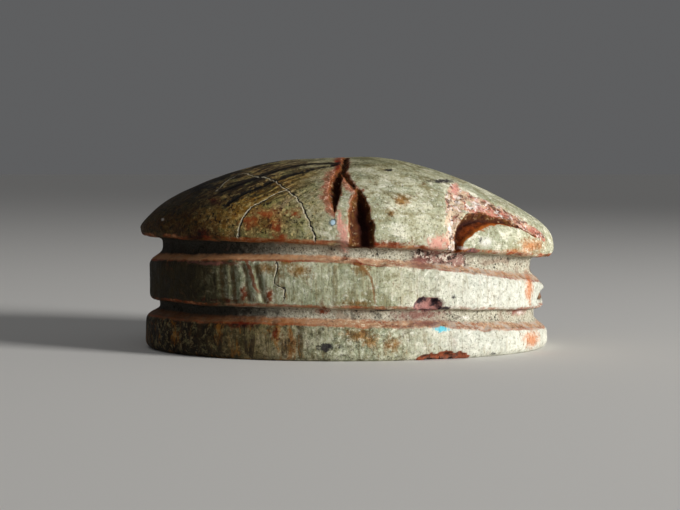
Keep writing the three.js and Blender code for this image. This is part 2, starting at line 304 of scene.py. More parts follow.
def wander(points):
    """Drift of every line: a slow and a quicker grain for each axis. It leaves the underside flat."""
    slow, quick = 0.045, 0.018
    drift = [slow * grain(points, 2.3, k) + quick * grain(points, 0.8, k + 7) for k in range(3)]
    drift[2] *= np.clip(points[:, 2] / 0.8, 0, 1)
    return np.stack(drift, axis=1)


# The carving of the back
# A graver parted the wing cases from the collar, freed the cheeks of the head and drew two lines over each
# wing case, the same on both flanks. A cut is the lean of its floor and its rows, each of which is u, share
# of the back's height, half width and depth.
LINE_HALF = 0.1
LINE_TAPER = 0.6
CUTS = {
    "collar line": (0, [(-0.006, 0.999, 0.19, 0.2), (-0.008, 0.93, 0.19, 0.2), (-0.015, 0.83, 0.18, 0.18),
                        (-0.006, 0.75, 0.16, 0.13), (0.013, 0.67, 0.14, 0.12), (0.03, 0.59, 0.12, 0.12)]),
    "notch": (0.6, [(-0.034, 0.83, 0.12, 0.1), (-0.045, 0.75, 0.22, 0.34), (-0.051, 0.67, 0.24, 0.42),
                    (-0.057, 0.56, 0.23, 0.44), (-0.06, 0.46, 0.2, 0.36), (-0.06, 0.37, 0.13, 0.2),
                    (-0.056, 0.29, 0.05, 0.05)]),
    "wedge": (0.5, [(0.04, 0.58, 0.1, 0.12), (0.05, 0.53, 0.2, 0.32), (0.054, 0.455, 0.33, 0.5),
                    (0.055, 0.34, 0.43, 0.62), (0.057, 0.22, 0.49, 0.66), (0.062, 0.05, 0.53, 0.6),
                    (0.066, -0.2, 0.53, 0.56)]),
    "cheek channel": (0.5, [(0.512, -0.2, 0.19, 0.4), (0.512, 0, 0.2, 0.42), (0.526, 0.13, 0.32, 0.5),
                            (0.552, 0.27, 0.42, 0.52), (0.594, 0.385, 0.43, 0.48), (0.643, 0.45, 0.37, 0.42),
                            (0.696, 0.5, 0.28, 0.33), (0.746, 0.52, 0.2, 0.24), (0.795, 0.505, 0.14, 0.16),
                            (0.843, 0.465, 0.1, 0.11), (0.893, 0.38, 0.05, 0.05)]),
}
WORN_SPREAD = 1.4  # wear reaches this many times past a strip's half width
WORN_STRIPS = {
    "neck": [(0.505, 0.84, 0.2, 0.05), (0.5, 0.69, 0.36, 0.13), (0.494, 0.54, 0.38, 0.15),
             (0.487, 0.4, 0.36, 0.16), (0.48, 0.25, 0.32, 0.16), (0.478, 0.1, 0.28, 0.14),
             (0.48, -0.2, 0.26, 0.14)],
    "brow": [(0.505, 0.8, 0.3, 0.06), (0.555, 0.74, 0.5, 0.12), (0.62, 0.7, 0.56, 0.13),
             (0.69, 0.69, 0.52, 0.13), (0.76, 0.68, 0.46, 0.12), (0.82, 0.64, 0.38, 0.1),
             (0.88, 0.56, 0.3, 0.08), (0.93, 0.42, 0.2, 0.05)],
    "shoulder": [(0.515, 0.62, 0.3, 0.1), (0.55, 0.57, 0.3, 0.09), (0.6, 0.565, 0.3, 0.07),
                 (0.66, 0.585, 0.28, 0.07), (0.73, 0.61, 0.26, 0.07), (0.8, 0.585, 0.24, 0.06),
                 (0.86, 0.52, 0.2, 0.06), (0.9, 0.42, 0.14, 0.05)],
}
CASE_LINES = {
    "upper case line": [(-0.045, 0.92), (-0.16, 0.925), (-0.29, 0.885), (-0.4, 0.81), (-0.5, 0.73),
                        (-0.58, 0.66)],
    "lower case line": [(-0.05, 0.9), (-0.17, 0.838), (-0.3, 0.757), (-0.42, 0.637), (-0.5, 0.52),
                        (-0.545, 0.41)],
    "seam": [(-0.02, 0.9999), (-0.93, 0.9999)],
}


def refined(rows, rounds=2):
    """Puts a row between each two, on the smooth curve through them.

    It is 9 sixteenths of each neighbour, less 1 sixteenth of each row beyond those.
    """
    for _ in range(rounds):
        ends = np.vstack([2 * rows[0] - rows[1], rows, 2 * rows[-1] - rows[-2]])
        middle = (9 * (rows[:-1] + rows[1:]) - ends[:-3] - ends[3:]) / 16
        merged = np.empty((len(rows) + len(middle), rows.shape[1]))
        merged[0::2], merged[1::2] = rows, middle
        rows = merged
    return rows


def on_back(u, share):
    """Points of the back's near flank at u and at a share of its height. Below 0 they go straight down."""
    x = u * half_length
    foot = lip_top(u)
    arch = (1 - np.clip(share, 0, 1) ** 2) ** (1 / ARCH_POWER)
    return np.stack([x, -back_reach(x) * arch, foot + share * (ridge(x) - foot)], axis=1)


def beside_path(spots, path, outward):
    """Where points lie by a path on the surface.

    The nearest stretch of the path wins. Returned are the offset beside it, the distance past its ends, and
    the place along its rows as a number. Points far from the path get an endless offset.
    """
    beside = np.full(len(spots), np.inf)
    past = np.zeros(len(spots))
    place = np.zeros(len(spots))
    margin = 1.2
    close = np.all((spots > path.min(0) - margin) & (spots < path.max(0) + margin), axis=1)
    near = spots[close]
    nearest = np.full(len(near), np.inf)
    found = np.stack([np.full(len(near), np.inf), np.zeros(len(near)), np.zeros(len(near))])
    for i in range(len(path) - 1):
        run = path[i + 1] - path[i]
        length = np.linalg.norm(run)
        along = (near - path[i]) @ run / length**2
        held = np.clip(along, 0, 1)
        gap = near - path[i] - held[:, None] * run
        side = -np.cross(run / length, outward[i] + outward[i + 1])
        side /= np.linalg.norm(side)
        beyond = ((i == 0) & (along < 0)) | ((i == len(path) - 2) & (along > 1))
        over = np.where(beyond, np.abs(along - held), 0)
        distance = np.linalg.norm(gap, axis=1)
        won = distance < nearest
        nearest[won] = distance[won]
        found[:, won] = np.stack([gap @ side, over * length, i + held])[:, won]
    found[0, nearest > margin] = np.inf
    beside[close], past[close], place[close] = found
    return beside, past, place


def by_stroke(spots, rows):
    """Offset beside a stroke of the back, distance past its ends, and its half width and depth there."""
    rows = refined(np.array(rows))
    step = 0.01
    share = np.clip(rows[:, 1], 0, 1 - 2 * step)
    here = on_back(rows[:, 0], share)
    ahead = on_back(rows[:, 0] + step, share)
    above = on_back(rows[:, 0], share + step)
    outward = np.cross(ahead - here, above - here)
    outward /= np.linalg.norm(outward, axis=1, keepdims=True)
    beside, past, place = beside_path(spots, on_back(rows[:, 0], rows[:, 1]), outward)
    half, depth = (np.interp(place, np.arange(len(rows)), rows[:, k]) for k in (2, 3))
    return beside, past, half, depth


def cut_depth(spots, rows, lean=0):
    """Depth of a V-shaped cut: full at its floor and none at its edges.

    The lean moves the floor to the positive side, by a share of the half width. That is the head side of a
    cut that runs down the flank, and the outer side of the cheek channel.
    """
    beside, past, half, depth = by_stroke(spots, rows)
    floor = lean * half
    wall = np.where(beside < floor, (beside + half) / (floor + half), (half - beside) / (half - floor))
    return depth * np.clip(np.nan_to_num(wall, neginf=0, posinf=0) - past / half, 0, 1)


def with_line_size(rows):
    """A case line's rows with their half width and depth, tapering out at the far end."""
    taper = np.linspace(1, LINE_TAPER, len(rows))
    return [(u, share, LINE_HALF * t, LINE_HALF * t) for (u, share), t in zip(rows, taper)]


def chip_depth(spots, centre, reach, height, depth):
    """Depth of a scalloped loss: half a ball, squashed to its reach along the flank, height and depth."""
    along = np.linalg.norm(spots[:, :2] - centre[:2], axis=1) / reach
    up = (spots[:, 2] - centre[2]) / height
    return depth * np.sqrt(np.clip(1 - along**2 - up**2, 0, None))


def shaken_by(reach, size, seed):
    """Random shifts along X and Z, up to the reach, from two grains of this size."""
    return reach * np.stack([grain(points, size, seed), 0 * inset, grain(points, size, seed + 1)], axis=1)


# Everything is cut into the near flank's coordinates, so a point of the far flank is folded over. The far
# flank is shifted by a slow noise first, because no carver cuts two sides alike.
FAR_SIDE_DRIFT = 0.12
HAND_WAVER = 0.045
EDGE_FRAY = 0.055
folded = points.copy()
folded += np.where(points[:, 1:2] > 0, FAR_SIDE_DRIFT * grain(points, 3.1, 21)[:, None] * [1, 0, 1], 0)
folded += shaken_by(HAND_WAVER, 0.4, 22)
folded[:, 1] = -np.abs(points[:, 1])
frayed = folded + shaken_by(EDGE_FRAY, 0.21, 24)

cut = np.maximum.reduce([cut_depth(frayed, rows, lean) for lean, rows in CUTS.values()])
lines = np.maximum.reduce([cut_depth(folded, with_line_size(rows)) for rows in CASE_LINES.values()])
strips = [np.array(rows) * [1, 1, WORN_SPREAD, 1] for rows in WORN_STRIPS.values()]
worn = np.maximum.reduce([cut_depth(frayed, rows) for rows in strips])
worn_share = np.maximum.reduce([cut_depth(frayed, rows * [1, 1, 1, 0] + [0, 0, 0, 1]) for rows in strips])

# Stain spreads past the edges of the collar's cuts, and further on the side of the wing cases.
halo = np.zeros(len(points))
for name in ("collar line", "notch", "wedge"):
    beside, past, half, _ = by_stroke(frayed, CUTS[name][1])
    reach = np.where((beside > 0) | (name == "wedge"), 1.3 * half + 0.12, 2 * half + 0.4)
    halo = np.maximum(halo, np.clip(1 - np.abs(beside) / reach - past / reach, 0, 1))
cut, worn, worn_share, lines, halo = (field * is_back for field in (cut, worn, worn_share, lines, halo))

# How far each point of the cheek channel lies towards the cheek: 0 at its outer edge and 1 at the cheek's.
beside, past, half, _ = by_stroke(frayed, CUTS["cheek channel"][1])
bowl = np.clip((1 - beside / half) / 2, 0, 1) * (np.abs(beside) < 1.3 * half) * (past < 0.1) * is_back

# The legs on the band
# The legs lie folded along the band, and short upright nicks mark the hind leg. Each row is u at its top and
# at its foot.
LEG_HATCHES = [(-0.57, -0.565), (-0.52, -0.51), (-0.47, -0.435), (-0.42, -0.365)]
HATCH_HALF = 0.17
HATCH_DEPTH = 0.1


def hatch_depth(spots):
    """Depth of the nicks: a V across each, faded out at the band's top and foot."""
    u = spots[:, 0] / half_length
    climb = (spots[:, 2] - band_foot(u)) / band_layer(u)
    faded = np.clip(8 * climb * (1 - climb), 0, 1)
    offs = [np.abs(u - foot - climb * (top - foot)) * half_length for top, foot in LEG_HATCHES]
    return HATCH_DEPTH * np.clip(1 - np.minimum.reduce(offs) / HATCH_HALF, 0, 1) * faded * on_band


# The underside
# It doesn't show in the photograph. Such amulets served as seals, so it has a border line and three ring
# motifs of the plainest traditional kind, cut by a graver and a tubular drill.
BORDER_INSET = 0.95
BASE_LINE_WIDTH = 0.42
BASE_LINE_DEPTH = 0.22
RING_RADII = (1.7, 0.62)
RING_PLACES = (-4.5, 0, 4.5)


def base_line_depth(spots):
    """Depth of the engraved lines: a V whose floor runs along the border oval and along each circle."""
    x, y = spots[:, 0], spots[:, 1]
    long, wide = (size - BORDER_INSET for size in OVALS["plate"])
    radius = np.maximum(np.hypot(x, y), 0.01)
    stretch = np.hypot(x / long, y / (wide * (1 - EGG * x / long)))
    off = np.abs(radius - radius / np.maximum(stretch, 1e-6))
    for place in RING_PLACES:
        for ring in RING_RADII:
            off = np.minimum(off, np.abs(np.hypot(x - place, y) - ring))
    return BASE_LINE_DEPTH * np.clip(1 - off / (BASE_LINE_WIDTH / 2), 0, 1) * is_under


# Losses on the near flank
# The stone has lost a flake at the foot of the leg band, a longer one along the plate's lower edge, and some
# small ones, most of them round its head end. Each row is its place, reach along the flank, height and depth.
CHIPS = [
    ((3.35, -5.9, 2.15), 0.62, 0.4, 0.3),
    ((3.95, -5.85, 0.0), 1.25, 0.33, 0.36),
    ((8.6, -0.9, 2.15), 1.3, 0.42, 0.34),
    ((8.6, -0.3, 4.0), 0.8, 0.2, 0.16),
    ((8.9, 0.6, 4.2), 0.7, 0.22, 0.2),
    ((6.05, -4.9, 0.1), 0.25, 0.16, 0.14),
    ((5.1, -5.0, 4.35), 0.3, 0.16, 0.16),
    ((2.6, -6.0, 4.3), 0.28, 0.12, 0.12),
    ((-5.2, 5.0, 1.45), 0.5, 0.2, 0.2),
    ((4.4, 5.5, 2.3), 0.5, 0.24, 0.18),
]
SPLINTERING = 0.08
splinters = [grain(points, 0.5, 26), 0 * inset, grain(points, 0.33, 27)]
splintered = points + SPLINTERING * np.stack(splinters, axis=1)
chipped = np.maximum.reduce([chip_depth(splintered, *chip) for chip in CHIPS])

# The finished surface
# All cuts go in from the worn surface along one direction: level where the flank is upright, and square to
# the back elsewhere. Scraping marks, grit, crumbs and dents are laid over them, at depths in millimetres.
SCRAPE_DEPTH = 0.012
GROOVE_GRIT = 0.02
SLOW_DENTS = 0.012
CUT_GRAIN = (0.04, 0.03)
CRUMB_SIZE = (0.07, 0.055)
EDGE_NICKS = 0.25
EDGE_REACH = 0.22
CRUMBS_MIDDLE = 3.8  # the upper groove crumbles about this place along the stone
normals = outward_directions(points)
level_out = np.stack([points[:, 0] / half_length**2, points[:, 1] / half_width**2, 0 * inset], axis=1)
level_out /= np.maximum(np.linalg.norm(level_out, axis=1, keepdims=True), 1e-9)
into = np.where(is_dome[:, None] | is_under[:, None], normals, level_out)

hatched = hatch_depth(folded)
engraved = base_line_depth(points)
deep = np.maximum.reduce([cut, worn, lines, chipped, hatched, engraved])
sunk = np.clip(deep - np.where(is_under | is_dome, 0, inset), 0, None)

in_groove = np.clip((inset - 0.3) / 0.25, 0, 1) * (1 - is_under)
is_low_rim = (level_of > corner_levels[10]) & (level_of < corner_levels[13])
upright = (on_plate | on_band).astype(float)
u = points[:, 0] / half_length
edges = {"plate_edge": plate_top, "foot_edge": band_foot, "band_edge": band_top, "rim_edge": rim}
over_edges = {name: np.clip(points[:, 2] - height(u), -0.8, 0.8) for name, height in edges.items()}
near_edge = np.maximum.reduce([np.clip(1 - np.abs(off) / EDGE_REACH, 0, 1) for off in over_edges.values()])
scrape = grain(points * [1, 1, 0.12], 0.27, 31) + 0.6 * grain(points * [1, 1, 0.2], 0.14, 32)
rough = SCRAPE_DEPTH * upright * scrape
rough += GROOVE_GRIT * in_groove * grain(points, 0.17, 33)
rough += SLOW_DENTS * grain(points, 0.5, 34) * ~is_under
cut_grain = CUT_GRAIN[0] * grain(points, 0.22, 35) + CUT_GRAIN[1] * grain(points, 0.12, 39)
rough += np.clip(sunk / 0.1, 0, 1) * ~is_under * cut_grain
crumbling_groove = in_groove * np.clip(1.6 - np.abs(points[:, 0] - CRUMBS_MIDDLE), 0, 1) * is_low_rim
crumbly = np.clip(worn / 0.06, 0, 1) + 1.3 * crumbling_groove + np.clip(chipped / 0.1, 0, 0.6)
rough += crumbly * (CRUMB_SIZE[0] * grain(points, 0.3, 36) + CRUMB_SIZE[1] * grain(points, 0.15, 37))
rough -= near_edge * ~is_under * (EDGE_NICKS * np.clip(grain(points, 0.55, 38) - 0.35, 0, 1))

shaped = points - into * sunk[:, None] + normals * rough[:, None] + wander(points)
shaped[:, 2] = np.maximum(shaped[:, 2], 0)


def in_scene(name, data):
    """A new object of this data, linked into the scene."""
    made = bpy.data.objects.new(name, data)
    bpy.context.scene.collection.objects.link(made)
    return made


def as_object(name, vertices, triangles):
    """A smooth-shaded object from a table of points in millimetres and a table of triangles."""
    mesh = bpy.data.meshes.new(name)
    mesh.from_pydata((vertices * MM).tolist(), [], triangles.tolist())
    mesh.shade_smooth()
    return in_scene(name, mesh)


stone = as_object("scarab_stone", shaped, faces)


def keep(name, values):
    """Stores one number for each point of the stone, for its finish to read."""
    layer = stone.data.attributes.new(name, "FLOAT", "POINT")
    layer.data.foreach_set("value", np.asarray(values, dtype=np.float32))


def inside(mark):
    """How far inside a round mark each point lies: 2 at its middle, 1 at its edge, 0 at twice its reach."""
    x, z, half_x, half_z = mark
    return np.clip(2 - np.hypot((points[:, 0] - x) / half_x, (points[:, 2] - z) / half_z), 0, 2)


# Stains, accretions and cracks
# Iron stain fills the cuts and edges the ledges. Each mark on the near flank is its x and z, and half its
# size along each.
MARKS = {
    "pink": [(-0.12, 5.0, 0.3, 0.7), (3.67, 4.75, 0.55, 0.42), (-0.3, 5.6, 0.13, 0.6),
             (3.3, 2.15, 0.3, 0.14), (4.55, 6.9, 0.2, 0.3)],
    "plum": [(2.9, 1.8, 1.5, 0.34), (3.0, 3.95, 0.7, 0.3), (3.2, 1.45, 1.1, 0.14), (3.55, 2.3, 0.5, 0.26),
             (7.2, 1.75, 0.6, 0.2), (-5.5, 3.9, 1.6, 0.1)],
    "peach": [(7.77, 4.5, 0.75, 0.42), (7.7, 2.7, 0.26, 0.8), (7.8, 0.55, 0.5, 0.5), (7.3, 1.7, 0.4, 0.2),
              (6.9, 4.35, 0.8, 0.12)],
    "russet": [(-2.86, 5.35, 0.3, 0.55), (-3.9, 5.6, 0.55, 0.32), (-3.3, 5.92, 0.8, 0.22),
               (-2.1, 5.95, 0.35, 0.25), (-2.6, 5.0, 0.35, 0.25)],
    "rust": [(-2.7, 5.3, 0.16, 0.5), (1.56, 4.78, 0.25, 0.13), (-4.18, 2.66, 0.2, 0.38),
             (-3.15, 2.64, 0.26, 0.38), (-2.9, 1.14, 0.16, 0.4), (-4.34, 1.45, 0.9, 0.15),
             (0.65, 6.88, 0.1, 0.1), (-1.0, 2.0, 0.4, 0.2), (1.15, 4.75, 0.4, 0.1),
             (0.45, 3.98, 0.3, 0.12), (-6.0, 4.9, 0.9, 0.1), (-5.0, 2.4, 1.2, 0.12),
             (1.9, 4.75, 0.9, 0.12), (-5.9, 5.1, 0.5, 0.3), (-5.4, 6.4, 0.35, 0.25),
             (-0.35, 7.9, 0.2, 0.5), (-0.3, 7.1, 0.16, 0.5)],
    "ochre": [(-3.2, 3.75, 0.9, 0.3), (-1.9, 3.65, 0.6, 0.35), (0.6, 3.75, 0.5, 0.3),
              (0.9, 0.9, 0.5, 0.5), (2.23, 6.48, 0.4, 0.3), (1.81, 5.96, 0.3, 0.22),
              (-2.3, 0.66, 0.6, 0.6), (0.52, 1.09, 0.9, 0.4), (1.84, 0.67, 0.4, 0.5),
              (0.32, 2.36, 0.9, 0.2), (-3.3, 5.6, 1.4, 0.6), (-5.0, 3.95, 0.9, 0.22),
              (-2.5, 4.0, 0.4, 0.2)],
    "black": [(-0.85, 0.6, 0.4, 0.2), (-0.37, 0.65, 0.2, 0.1), (2.98, 2.41, 0.18, 0.14),
              (3.6, 2.32, 0.18, 0.22), (3.93, 2.06, 0.3, 0.1), (4.3, 2.5, 0.14, 0.13),
              (6.05, 0.13, 0.12, 0.08), (1.52, 2.07, 0.65, 0.05), (5.48, 4.83, 0.08, 0.16),
              (4.03, 7.2, 0.7, 0.1), (1.75, 7.65, 0.2, 0.05), (-2.55, 2.95, 0.09, 0.09)],
    # Of the white marks, the one at x -7.7 on the tail is a painted glint.
    "white": [(5.35, 6.32, 0.32, 0.24), (4.8, 4.5, 0.22, 0.1), (5.7, 4.72, 0.4, 0.26),
              (4.26, 5.34, 0.14, 0.5), (4.85, 1.62, 0.22, 0.1), (7.34, 1.66, 0.3, 0.14),
              (-7.7, 5.6, 0.1, 0.08), (4.4, 4.75, 0.2, 0.1), (2.85, 4.6, 0.2, 0.08)],
    "blue": [(-0.57, 5.57, 0.17, 0.19)],
    "turquoise": [(3.84, 1.2, 0.36, 0.11)],
}
near_side = points[:, 1] < 0
for name, marks in MARKS.items():
    keep(name, np.maximum.reduce([inside(mark) for mark in marks]) * near_side * ~is_under)

# The points of cracks and of drawn-out stains on the near flank. Rows on the back are (u, share of the back's
# height), and those on the band are (x, z).
BACK_CRACKS = {
    "crack_long": [(-0.6, 0.72), (-0.567, 0.832), (-0.525, 0.9), (-0.468, 0.9), (-0.425, 0.834),
                   (-0.377, 0.8), (-0.329, 0.728), (-0.29, 0.636), (-0.257, 0.562), (-0.225, 0.479),
                   (-0.202, 0.386), (-0.179, 0.255), (-0.161, 0.127), (-0.147, 0.011), (-0.143, -0.079)],
    "crack_fork": [(-0.271, 0.591), (-0.325, 0.531), (-0.37, 0.454), (-0.414, 0.388), (-0.45, 0.289),
                   (-0.467, 0.184), (-0.481, 0.061), (-0.485, -0.063)],
}
BAND_LINES = {
    "crack_band": [(-2.84, 4.0), (-2.78, 3.85), (-2.86, 3.5), (-2.93, 3.22), (-2.8, 3.05), (-2.5, 2.9),
                   (-2.54, 2.5)],
    "stain_band": [(-4.06, 4.05), (-3.98, 3.8), (-3.88, 3.5), (-3.76, 3.15), (-3.6, 2.8)],
    "stain_rust": [(0.15, 4.1), (0.6, 3.85), (0.85, 3.55), (0.98, 3.2), (1.06, 2.8), (1.08, 2.4)],
}
LINE_REACH = 0.6  # offsets are stored up to this far beside a line


def keep_line(name, beside, past, fade, where):
    """Stores the offset beside a line, and where the line is there at all: it fades out past its ends."""
    keep(name, np.clip(beside, -LINE_REACH, LINE_REACH))
    keep(name + "_on", np.clip(1 - past / fade, 0, 1) * (np.abs(beside) < LINE_REACH) * where)


for name, rows in BACK_CRACKS.items():
    path = on_back(*refined(np.array(rows), 1).T)
    beside, past, _ = beside_path(points, path, np.tile([0.0, -1.0, 0.6], (len(path), 1)))
    keep_line(name, beside, past, 0.12, is_back & near_side)
for name, rows in BAND_LINES.items():
    x, z = refined(np.array(rows), 1).T
    long, wide = OVALS["band"]
    path = np.stack([x, -wide * np.sqrt(1 - (x / long) ** 2) * (1 - EGG * x / long), z], axis=1)
    beside, past, _ = beside_path(points, path, np.tile([0.0, -1.0, 0.0], (len(path), 1)))
    keep_line(name, beside, past, 0.12, on_band & near_side)
for name, rows in CASE_LINES.items():
    beside, past, _, _ = by_stroke(folded, with_line_size(rows))
    keep_line(name.replace(" ", "_"), beside, past, 0.3, is_back)

# The way that the fine strands run: they fan out from the collar over the wing cases, and follow the fall of
# the back ahead of it.
share = (points[:, 2] - lip_top(u)) / np.maximum(ridge(points[:, 0]) - lip_top(u), 1e-6)
case_rows = [np.array(CASE_LINES[name])[::-1].T for name in ("upper case line", "lower case line")]
upper, lower = (np.interp(u, *rows) for rows in case_rows)
lane = np.where(u < -0.03, (share - lower) / np.maximum(upper - lower, 0.07), 4 * share)
strands = stone.data.attributes.new("strands", "FLOAT_VECTOR", "POINT")
strand_places = np.stack([0.3 * points[:, 0], lane, 5 * near_side], axis=1)
strands.data.foreach_set("vector", strand_places.astype(np.float32).ravel())
regions = {"back": is_back, "wall": in_groove, "scraped": upright, "crumbling": crumbling_groove}
depths = {"cut": cut, "chipped": chipped, "hatched": hatched, "engraved": engraved}
shares = {"worn": worn_share, "halo": halo, "bowl": bowl}
for name, field in (regions | depths | shares | over_edges).items():
    keep(name, field)

# The bore
# A drilled hole for a cord runs straight through the leg band, from the head end to the tail. Its mouths are
# worn wide by the cord.
BORE_RADIUS = 0.85
BORE_OVER_FOOT = 0.82
BORE_HEIGHT = band_foot(0) + BORE_OVER_FOOT
BORE_SIDES = 48
MOUTH_WEAR = 0.16
MOUTH_START = 0.88  # share of the half length where the wear begins


def bore_cutter():
    """A round bar along X that swells towards the two mouths, closed by a fan at each end."""
    mouth = np.linspace(0.75, 1.15, 12)
    x = np.concatenate([-mouth[::-1], np.linspace(-0.6, 0.6, 9), mouth]) * half_length
    radius = BORE_RADIUS + MOUTH_WEAR * np.clip((np.abs(x) - MOUTH_START * half_length) / 0.7, 0, 1) ** 2
    turn = 2 * np.pi * np.arange(BORE_SIDES) / BORE_SIDES
    y = (radius[:, None] * np.cos(turn)).ravel()
    z = BORE_HEIGHT + (radius[:, None] * np.sin(turn)).ravel()
    body = np.stack([np.repeat(x, BORE_SIDES), y, z], axis=1)
    body += 0.012 * grain(body, 0.5, 41)[:, None]
    vertices = np.concatenate([[[x[0], 0, BORE_HEIGHT]], body, [[x[-1], 0, BORE_HEIGHT]]])
    return vertices, skin([BORE_SIDES] * len(x))


cutter = as_object("bore_cutter", *bore_cutter())
drill = stone.modifiers.new("bore", "BOOLEAN")
drill.operation = "DIFFERENCE"
drill.solver = "MANIFOLD"
drill.object = cutter
bpy.context.view_layer.update()
drilled = bpy.data.meshes.new_from_object(stone.evaluated_get(bpy.context.evaluated_depsgraph_get()))
stone.modifiers.clear()
stone.data = drilled
bpy.data.objects.remove(cutter)


# The stone's finish
# Steatite that was glazed once: cream to grey-green, with a fine dark speckle, upright scraping marks, iron
# stain in every cut and along the ledges, grey grit in the grooves, and one speck of turquoise glaze left.
def paint(code):
    """A colour from its six-figure code, as the shader's linear values."""
    shares = np.array([int(code[k : k + 2], 16) for k in (0, 2, 4)]) / 255
    linear = np.where(shares <= 0.04045, shares / 12.92, ((shares + 0.055) / 1.055) ** 2.4)
    return (*linear.tolist(), 1.0)


class Finish:
    """A material built up in steps. Each step adds nodes and returns the last one's output."""

    def __init__(self, name):
        """Starts a material of this name. Its places are the object's own coordinates."""
        self.material = bpy.data.materials.new(name)
        self.material.use_nodes = True
        self.tree = self.material.node_tree
        self.shader = self.tree.nodes["Principled BSDF"]
        self.place = self.add("ShaderNodeTexCoord").outputs["Object"]

    def add(self, kind, inputs=None, **settings):
        """A node of this kind with its settings, and its inputs fed by their names or numbers."""
        node = self.tree.nodes.new(kind)
        for name, value in settings.items():
            setattr(node, name, value)
        for name, value in (inputs or {}).items():
            self.feed(node.inputs[name], value)
        return node

    def feed(self, socket, value):
        """Links an output to a socket, or sets the socket to a value. A text is a colour's code."""
        if isinstance(value, bpy.types.NodeSocket):
            self.tree.links.new(value, socket)
        else:
            socket.default_value = paint(value) if isinstance(value, str) else value

    def stored(self, name):
        """The values that the mesh holds under this name."""
        return self.add("ShaderNodeAttribute", attribute_name=name).outputs["Fac"]

    def scaled_place(self, size, stretch=(1, 1, 1)):
        """The place in steps of this size in millimetres, each axis stretched by its factor."""
        steps = tuple(1 / (size * MM * s) for s in stretch)
        return self.add("ShaderNodeVectorMath", {0: self.place, 1: steps}, operation="MULTIPLY").outputs[0]

    def noise(self, size, detail=3, roughness=0.55, stretch=(1, 1, 1), bend=0.0):
        """Cloudy values about 0.5, whose largest clouds have this size."""
        inputs = {"Vector": self.scaled_place(size, stretch), "Scale": 1.0, "Detail": detail,
                  "Roughness": roughness, "Distortion": bend}
        return self.add("ShaderNodeTexNoise", inputs).outputs["Fac"]

    def cells(self, size):
        """The distance to the nearest of many scattered points that lie about this size apart."""
        inputs = {"Vector": self.scaled_place(size), "Scale": 1.0}
        return self.add("ShaderNodeTexVoronoi", inputs).outputs["Distance"]

    def math(self, operation, a, b=0.0):
        """One operation on two values."""
        return self.add("ShaderNodeMath", {0: a, 1: b}, operation=operation).outputs[0]

    def times(self, first, *others):
        """The product of all the values."""
        for other in others:
            first = self.math("MULTIPLY", first, other)
        return first

    def step(self, value, start, end, low=0.0, high=1.0):
        """Low before the start, high past the end, and a smooth passage between them."""
        inputs = {"Value": value, "From Min": start, "From Max": end, "To Min": low, "To Max": high}
        return self.add("ShaderNodeMapRange", inputs, interpolation_type="SMOOTHSTEP").outputs["Result"]

    def over(self, below, colour, amount, blend="MIX"):
        """A colour laid over another by an amount from 0 to 1."""
        node = self.add("ShaderNodeMix", data_type="RGBA", blend_type=blend)
        for socket, value in zip((node.inputs[0], node.inputs[6], node.inputs[7]), (amount, below, colour)):
            self.feed(socket, value)
        return node.outputs[2]

    def coats(self, colour, *coats):
        """A colour under coats of (colour, value, start, end, strength): each sets in as its value passes."""
        for coat, value, start, end, *strength in coats:
            colour = self.over(colour, coat, self.step(value, start, end, 0, *strength))
        return colour


